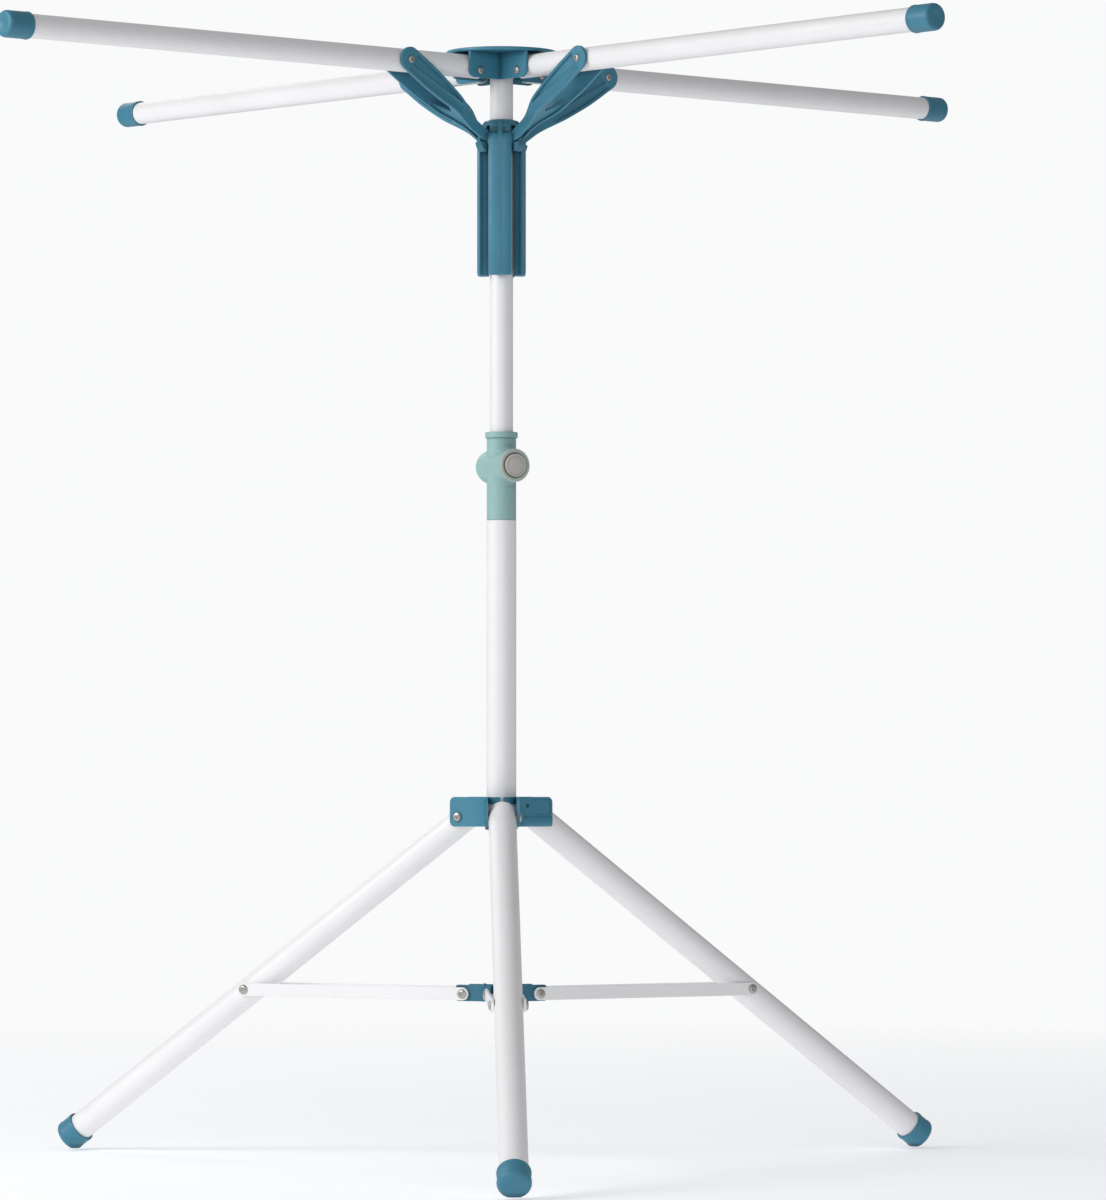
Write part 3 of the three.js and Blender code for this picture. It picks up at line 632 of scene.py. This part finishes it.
def make_mast():
    add("upper_mast_tube_coated", pipe(UPPER_R, UPPER_R - WALL, UPPER_LOW, UPPER_TOP), Matrix(),
        "upper_mast",
        WHITE, ["upper_mast_tube"])
    add("lower_mast_tube_coated", pipe(LOWER_R, LOWER_R - WALL, LOWER_LOW, LOWER_TOP), Matrix(),
        "lower_mast",
        WHITE, ["lower_mast_tube"])
    slide = LOWER_R - WALL - GAP
    tight = UPPER_R - WALL - GAP
    shoe = lathe([(9, UPPER_LOW - 12), (slide - 1, UPPER_LOW - 12), (slide, UPPER_LOW - 10),
                  (slide, UPPER_LOW - GAP),
                  (tight, UPPER_LOW - GAP), (tight, UPPER_LOW + 22), (9, UPPER_LOW + 22)])
    add("upper_tube_slide_shoe_nylon", shoe, Matrix(), "upper_mast", NYLON,
        ["upper_tube_slide_shoe"], 0.3)
    plug = lathe([(11, LOWER_LOW - 3.6), (16.6, LOWER_LOW - 3.6), (17.6, LOWER_LOW - 2.6),
                  (17.6, LOWER_LOW - GAP),
                  (slide, LOWER_LOW - GAP), (slide, LOWER_LOW + 20), (11, LOWER_LOW + 20)])
    add("lower_tube_stop_plug_moulded", plug, Matrix(), "lower_mast", DARK,
        ["lower_tube_stop_plug"], 0.3)
    seat, top = ARM_PIVOT_Z - 1 - GAP, DISC_LOW - GAP
    spindle = lathe([(0, UPPER_TOP - 30), (tight, UPPER_TOP - 30), (tight, UPPER_TOP + GAP),
                     (11.8, UPPER_TOP + GAP),
                     (11.8, seat), (8, seat), (8, top), (0, top)])
    add("head_bearing_spindle_nylon", spindle, Matrix(), "upper_mast", NYLON,
        ["head_bearing_spindle"], 0.3)


def displaced(mesh, voxel, offset, smoothing=0):
    """The mesh remeshed into even voxels and grown by an offset along its normals."""
    o = bpy.data.objects.new("grow", mesh)
    bpy.context.scene.collection.objects.link(o)
    m = o.modifiers.new("remesh", "REMESH")
    m.mode, m.voxel_size, m.use_smooth_shade = "VOXEL", voxel, True
    if smoothing:
        s = o.modifiers.new("smooth", "SMOOTH")
        s.factor, s.iterations = 0.5, smoothing
    if offset:
        d = o.modifiers.new("grow", "DISPLACE")
        d.strength, d.mid_level = offset, 0
    out = bpy.data.meshes.new_from_object(o.evaluated_get(bpy.context.evaluated_depsgraph_get()))
    bpy.data.objects.remove(o)
    return out


def make_collar():
    stem = LOWER_R - WALL - GAP
    low = LOWER_TOP + GAP
    ring_seat = COLLAR_TOP - 6.5 - GAP
    lying = shift(0, 0, LOCK_Z) @ spin(LOCK_HEADING) @ ALONG
    neck = rod(COLLAR_R, low - 4, ring_seat + 4, 96)
    back = [(0, LOCK_BACK), *arc(LOCK_R - 7.5, LOCK_BACK + 7.5, 7.5, -90, 0)]
    barrel = moved(lathe(back + [(LOCK_R, LOCK_FRONT + 4), (0, LOCK_FRONT + 4)], 96), lying)
    blend = 2.6
    shell = displaced(join(neck, barrel), 0.9, blend)
    shell = displaced(shell, 0.9, -blend, 2)
    shell = displaced(shell, 0.8, 0, 3)
    limits = join(lathe([(0, low), (COLLAR_R, low), (COLLAR_R, ring_seat), (0, ring_seat)], 96),
                  moved(lathe([(0, LOCK_BACK - 3), (LOCK_R + 9, LOCK_BACK - 3), (LOCK_R + 9, LOCK_FRONT),
                               (0, LOCK_FRONT)], 96), lying))
    shell = boolean("INTERSECT", shell, [limits])
    spigot = lathe([(UPPER_R + 0.4, low - 38), (stem, low - 38), (stem, low + 1), (UPPER_R + 0.4, low + 1)],
                   96)
    cavity = moved(rod(LOCK_BORE, LOCK_BACK + 2.2, LOCK_FRONT + 1, 96), lying)
    body = cut(join(shell, spigot), cavity, rod(UPPER_R + 0.4, 600, 800, 96),
               rod(14.4, COLLAR_TOP - 16, COLLAR_TOP, 96))
    add("collar_housing_moulded", body, Matrix(), "lower_mast", MINT, ["collar_housing"])
    r, top = COLLAR_RING_R, COLLAR_TOP
    ring = lathe([(UPPER_R + GAP, top - 14), (14.1, top - 14), (14.1, top - 6.5), (r - 0.7, top - 6.5),
                  (r - 0.2, top - 6.2),
                  (r, top - 5.6), (r, top - 1.2), (r - 0.3, top - 0.4), (r - 1, top),
                  (UPPER_R + GAP + 0.5, top),
                  (UPPER_R + GAP, top - 0.5)], 96)
    add("collar_guide_ring_moulded", ring, Matrix(), "lower_mast", MINT,
        ["collar_guide_ring"])
    make_lock(lying)


def make_lock(lying):
    near = UPPER_R + GAP
    hole = join(moved(rod(near, -30, 30), ALONG), moved(rod(near, -30, 30), shift(0, 0, -4) @ ALONG),
                block((-30, -near, -4), (30, near, 0)))
    plunger = cut(rod(LOCK_BORE - GAP, -21, LOCK_FRONT - 2.5, 96), moved(hole, shift(0, 0, 4)),
                  rod(6, -22, -17, 32))
    add("lock_plunger_nylon", plunger, lying, "lock", NYLON, ["lock_plunger"], 0.25)
    f, r = LOCK_FRONT, LOCK_R
    bezel = lathe([(13, f + GAP), (r - 0.3, f + GAP), (r, f + GAP + 0.4), (r, f + 1.6), (r - 0.5, f + 2.5),
                   (r - 1.4, f + 3),
                   (14.6, f + 3), (14.0, f + 2.5), (13.3, f + 2.5), (13, f + 2.2)], 96)
    add("lock_bezel_moulded", bezel, lying, "lower_mast", BEZEL, ["lock_bezel"])
    button = lathe([(0, f - 2.2), (LOCK_BORE - 0.5, f - 2.2), (LOCK_BORE - 0.5, f - 0.3), (12.4, f - 0.3),
                    (12.4, f + 4.4),
                    (12, f + 5.2), (11.2, f + 5.6), (10.4, f + 5.1), (9.9, f + 5), (9, f + 5.5),
                    (5, f + 5.9), (0, f + 6)], 96)
    add("lock_button_moulded", button, lying, "lock", BUTTON, ["lock_button"])
    add_spring(lying)


def add_spring(lying):
    """The return spring behind the plunger, with closed ends."""
    turns, coil, wire = 4, 4.4, 0.6
    start, end = LOCK_BACK + 2.2 + wire + GAP, -17 - wire - GAP
    steps, sides = 160, 12
    verts, faces = [], []
    pitch = (end - start) / turns
    for i in range(steps + 1):
        a = 2 * math.pi * turns * i / steps
        centre = Vector((coil * math.cos(a), coil * math.sin(a), start + (end - start) * i / steps))
        out = Vector((math.cos(a), math.sin(a), 0))
        along = Vector((-math.sin(a) * coil, math.cos(a) * coil, pitch / (2 * math.pi))).normalized()
        up = along.cross(out)
        verts += [centre + wire * (math.cos(b) * out + math.sin(b) * up)
                  for b in (2 * math.pi * k / sides for k in range(sides))]
    for i in range(steps):
        for k in range(sides):
            a, b = i * sides + k, i * sides + (k + 1) % sides
            faces.append([a, b, b + sides, a + sides])
    faces += [list(range(sides)), list(range(steps * sides, (steps + 1) * sides))]
    add("lock_spring_wound", mesh_of(verts, faces), lying, "lower_mast", SILVER,
        ["lock_spring"])


# ---- stand ---------------------------------------------------------------------------------
def make_hub():
    top = HUB_Z + HUB_H
    ring = lathe([(HUB_BORE - 2, HUB_Z), (HUB_R, HUB_Z), (HUB_R, top), (HUB_BORE - 2, top)], 96)
    parts, tools = [], [rod(HUB_BORE, HUB_Z - 1, top + 1, 96)]
    corner = (HUB_GAP + CHEEK) / math.sin(math.pi / 3)
    web = [(corner - 3, -1.7), (corner + 4, -7), (corner + 4, 7), (corner - 3, 1.7)]
    for heading in LEGS.values():
        for side in (1, -1):
            near = HUB_GAP if side > 0 else -HUB_GAP - CHEEK
            parts.append(moved(slab(rounded(9, HUB_TIP, HUB_Z, top, 6), near, near + CHEEK), spin(heading)))
        tools.append(moved(block((0, -HUB_GAP, HUB_Z - 1), (100, HUB_GAP, top - HUB_BAND)), spin(heading)))
        parts.append(moved(prism(web, HUB_Z, top), spin(heading + 60)))
        # The blind side: a sunk panel above a rolled lip, and a small sprue dimple.
        face = -HUB_GAP - CHEEK
        tools.append(moved(pin(2.6, face + HUB_BLIND, 30, LEG_PIVOT, LEG_PIVOT_Z), spin(heading)))
        panel = slab(rounded(25, HUB_TIP - 2.2, HUB_Z + 12.6, top - 2.4, 4.4), face - 1, face + 0.7)
        dimple = pin(2.1, face - 1, face + 1.8, 21.5, top - 9.4)
        tools += [moved(panel, spin(heading)), moved(dimple, spin(heading))]
        lip = moved(rod(5.4, 13, HUB_TIP - 1, 48), shift(0, face + 0.2,
                                                         HUB_Z + 5.6) @ Matrix.Diagonal((1, 0.36, 1,
                                                             1)) @ ALONG)
        parts.append(moved(lip, spin(heading)))
    tools.append(moved(block((5, -HUB_SLIT / 2, top - HUB_BAND - 1), (30, HUB_SLIT / 2, top + 1)),
                       spin(LEGS["front"])))
    body = cut(join(ring, *parts), *tools)
    add("tripod_hub_moulded", body, Matrix(), "stand", TEAL, ["tripod_hub"], 0.5)
    span = HUB_GAP + CHEEK
    base = span + GAP
    blind = HUB_BLIND + GAP - span
    screw = lathe([(0, blind), (2.3, blind), (2.3, base), (4.9, base), (4.9, base + 0.7), (4.4, base + 1.6),
                   (3.3, base + 2.2),
                   (1.5, base + 2.4), (0, base + 2.4)], 48)
    slots = [moved(block((-2.4, -0.5, base + 1.1), (2.4, 0.5, base + 4)), spin(a)) for a in (20, 110)]
    screw = moved(cut(screw, *slots), shift(LEG_PIVOT, 0, LEG_PIVOT_Z) @ ACROSS)
    for place, heading in LEGS.items():
        add(f"leg_screw_{place}_panhead", screw, spin(heading), "stand", SILVER,
            [f"leg_screw_{place}"], 0.15)


def leg_length():
    edge, flat = 5, 1.2
    tilt = math.radians(LEG_TILT)
    return (LEG_PIVOT_Z + flat - edge - (LEG_CAP_R - edge) * math.sin(tilt)) / math.cos(tilt) + edge


def make_legs():
    end, r = leg_length(), LEG_R
    inner = r - WALL
    dome = [(r * math.sin(math.radians(a)),
             LEG_DOME - 9 * (1 - math.cos(math.radians(a)))) for a in range(0, 91, 9)]
    hollow = [(inner * math.sin(math.radians(a)),
               LEG_DOME - WALL - 9 * (1 - math.cos(math.radians(a)))) for a in range(90, -1, -9)]
    tube = lathe([*dome, (r, 4 - end), (inner, 4 - end), *hollow], 80)
    tube = cut(tube, pin(2.6, -30, 30))
    bore, c, top = r + GAP, LEG_CAP_R, LEG_CAP_L - end
    cap = lathe([(bore, top), (c - 0.9, top), (c - 0.3, top - 0.4), (c, top - 1.3), (c, top - 3.4),
                 (c - 0.4, top - 4), (c - 0.4, 9 - end),
                 (c, 7 - end), (c, 5 - end), (c - 0.5, 3 - end), (c - 1.7, 1.3 - end), (c - 3.3, 0.3 - end),
                 (c - 5, -end), (0, -end),
                 (0, 3 - end), (bore, 3 - end)], 80)
    hinge = shift(LEG_PIVOT, 0, LEG_PIVOT_Z) @ Matrix.Rotation(-math.radians(LEG_TILT), 4, "Y")
    tube, cap = moved(tube, hinge), moved(cap, hinge)
    cap = cut(cap, block((0, -100, -100), (900, 100, 0.02)))
    for place, heading in LEGS.items():
        add(f"leg_tube_{place}_coated", tube, spin(heading), f"leg_{place}", WHITE,
            [f"leg_tube_{place}"])
        add(f"foot_cap_{place}_moulded", cap, spin(heading), f"leg_{place}", CAP,
            [f"foot_cap_{place}"])


def make_braces():
    low = BRACE_Z + BRACE_RISE - BRACE_H / 2
    top = low + BRACE_H
    ring = lathe([(BRACE_BORE - 1, low), (BRACE_R, low), (BRACE_R, top), (BRACE_BORE - 1, top)], 96)
    parts, tools = [], [rod(BRACE_BORE, low - 1, top + 8, 96)]
    for heading in LEGS.values():
        for near in (BRACE_GAP, -BRACE_GAP - CHEEK):
            parts.append(moved(slab(rounded(14, BRACE_PIVOT + 9.5, low, top, 3), near, near + CHEEK),
                               spin(heading)))
        tools.append(moved(pin(2.4, -30, 30, BRACE_PIVOT, BRACE_Z), spin(heading)))
        nub = lathe([(0, top - 2), (2.2, top - 2), (2.2, top + 1.1), (1.7, top + 1.9), (0, top + 2.2)], 32)
        parts.append(moved(nub, spin(heading + 60) @ shift(BRACE_R - 0.8)))
    body = cut(join(ring, *parts), *tools)
    add("brace_hub_moulded", body, Matrix(), "brace_slider", DARK, ["brace_hub"], 0.4)

    joint_r = LEG_PIVOT + BRACE_AT * math.sin(math.radians(LEG_TILT))
    length, half = joint_r - BRACE_PIVOT, BRACE_BAR / 2
    near = BRACE_GAP + CHEEK + GAP
    far = near + BRACE_T
    outline = arc(0, 0, half, 90, 270, 14) + arc(length, 0, half, -90, 90, 14)
    rivet = moved(lathe(rivet_profile(2.1, 5.2, far, 2.4), 44), ACROSS)
    end_pin = lathe([(0, near + 0.4), (2.1, near + 0.4), (2.1, far + GAP), (5.2, far + GAP),
                     (5.2, far + 0.9), (4.5, far + 1.8),
                     (3.2, far + 2.4), (2, far + 2.4), (1.4, far + 1.6), (0, far + 1.5)], 44)
    holes = [pin(2.4, -30, 30), pin(2.4, -30, 30, length)]
    for place, heading in LEGS.items():
        at = spin(heading) @ shift(BRACE_PIVOT, 0, BRACE_Z)
        body = f"brace_{place}"
        for side, sign in (("left", 1), ("right", -1)):
            bar = cut(slab(outline, *sorted((sign * near, sign * far))), *[m.copy() for m in holes])
            add(f"brace_bar_{place}_{side}_coated", bar, at, body, WHITE,
                [f"brace_bar_{place}_{side}"], 0.4)
            facing = Matrix.Rotation(math.radians(-90 * sign), 4, "X")
            add(f"brace_end_rivet_{place}_{side}_domed", end_pin, at @ shift(length) @ facing, body,
                SILVER,
                [f"brace_end_rivet_{place}_{side}"])
        add(f"brace_hub_rivet_{place}_domed", rivet, at, "brace_slider", SILVER,
            [f"brace_hub_rivet_{place}"])


CAP = moulded("Cap_plastic", "3d7f97", 0.42)
BEZEL = moulded("Bezel_plastic", "b4c0b9", 0.45, 1.1)
make_head()
make_arms()
make_struts()
make_sleeve()
make_runner()
make_mast()
make_collar()
make_hub()
make_legs()
make_braces()

# ---- floor, light and camera ---------------------------------------------------------------
# The camera's own frame is turned from the part's, so that the stand faces it.
TURN = spin(-41.3)


def studio():
    floor = bpy.data.objects.new("floor", lathe([(0, -0.2), (40, -0.2), (40, -0.002), (0, -0.002)], 96))
    bpy.context.scene.collection.objects.link(floor)
    n = Nodes("Pale_floor")
    spread = n.node("ShaderNodeVectorMath", Vector=n.coordinates)
    spread.operation = "LENGTH"
    paper = n.mix(n.ramp(n.noise(3, 2), 0.3, 0.7), [0.8, 0.8, 0.805, 1], [0.82, 0.82, 0.822, 1])
    material = n.done(paper, n.ramp(n.noise(6, 2), 0.3, 0.7, 0.85, 0.95),
                      n.bump(n.noise(90, 2), 0.02, 0.001),
                      Emission_Color=(0.95, 0.97, 1, 1), Emission_Strength=0.4, Specular_IOR_Level=0.1)
    clear = n.tree.nodes.new("ShaderNodeBsdfTransparent")
    fade = n.tree.nodes.new("ShaderNodeMixShader")
    n.tree.links.new(n.ramp(spread.outputs["Value"], 0.8, 3.6), fade.inputs[0])
    n.tree.links.new(n.bsdf.outputs[0], fade.inputs[1])
    n.tree.links.new(clear.outputs[0], fade.inputs[2])
    n.tree.links.new(fade.outputs[0], n.tree.nodes["Material Output"].inputs["Surface"])
    floor.data.materials.append(material)

    world = bpy.data.worlds.new("studio")
    bpy.context.scene.world = world
    world.use_nodes = True
    tree = world.node_tree
    fill = tree.nodes["Background"]
    fill.inputs["Color"].default_value = (0.97, 0.98, 1.0, 1)
    fill.inputs["Strength"].default_value = 0.31
    seen = tree.nodes.new("ShaderNodeBackground")
    seen.inputs["Color"].default_value = (0.95, 0.955, 0.96, 1)
    seen.inputs["Strength"].default_value = 1.0
    path = tree.nodes.new("ShaderNodeLightPath")
    pick = tree.nodes.new("ShaderNodeMixShader")
    tree.links.new(path.outputs["Is Camera Ray"], pick.inputs[0])
    tree.links.new(fill.outputs[0], pick.inputs[1])
    tree.links.new(seen.outputs[0], pick.inputs[2])
    tree.links.new(pick.outputs[0], tree.nodes["World Output"].inputs["Surface"])

    aim = TURN @ Vector((0, 0, 0.7))
    for name, place, size, watts in (("key", (-3.4, -1.6, 2.2), 2.2, 96),
                                     ("front", (0.6, -5.0, 1.6), 2.5, 38),
                                     ("rim", (-1.5, 3.2, 2.4), 1.8, 24)):
        data = bpy.data.lights.new(name, "AREA")
        data.energy, data.size = watts, size
        light = bpy.data.objects.new(name, data)
        bpy.context.scene.collection.objects.link(light)
        light.location = TURN @ Vector(place)
        light.rotation_mode = "QUATERNION"
        light.rotation_quaternion = (light.location - aim).to_track_quat("Z", "Y")

    data = bpy.data.cameras.new("camera")
    data.sensor_width, data.lens = 36, 192.87
    data.clip_start, data.clip_end = 0.1, 100
    camera = bpy.data.objects.new("camera", data)
    bpy.context.scene.collection.objects.link(camera)
    bpy.context.scene.camera = camera
    camera.location = TURN @ Vector((0.0557, -6.943, 0.443))
    tilt = math.radians(1.35)
    looking = TURN @ Vector((0, math.cos(tilt), math.sin(tilt)))
    camera.rotation_mode = "QUATERNION"
    camera.rotation_quaternion = looking.to_track_quat("-Z", "Y")
    bpy.context.scene.view_settings.view_transform = "Standard"


studio()
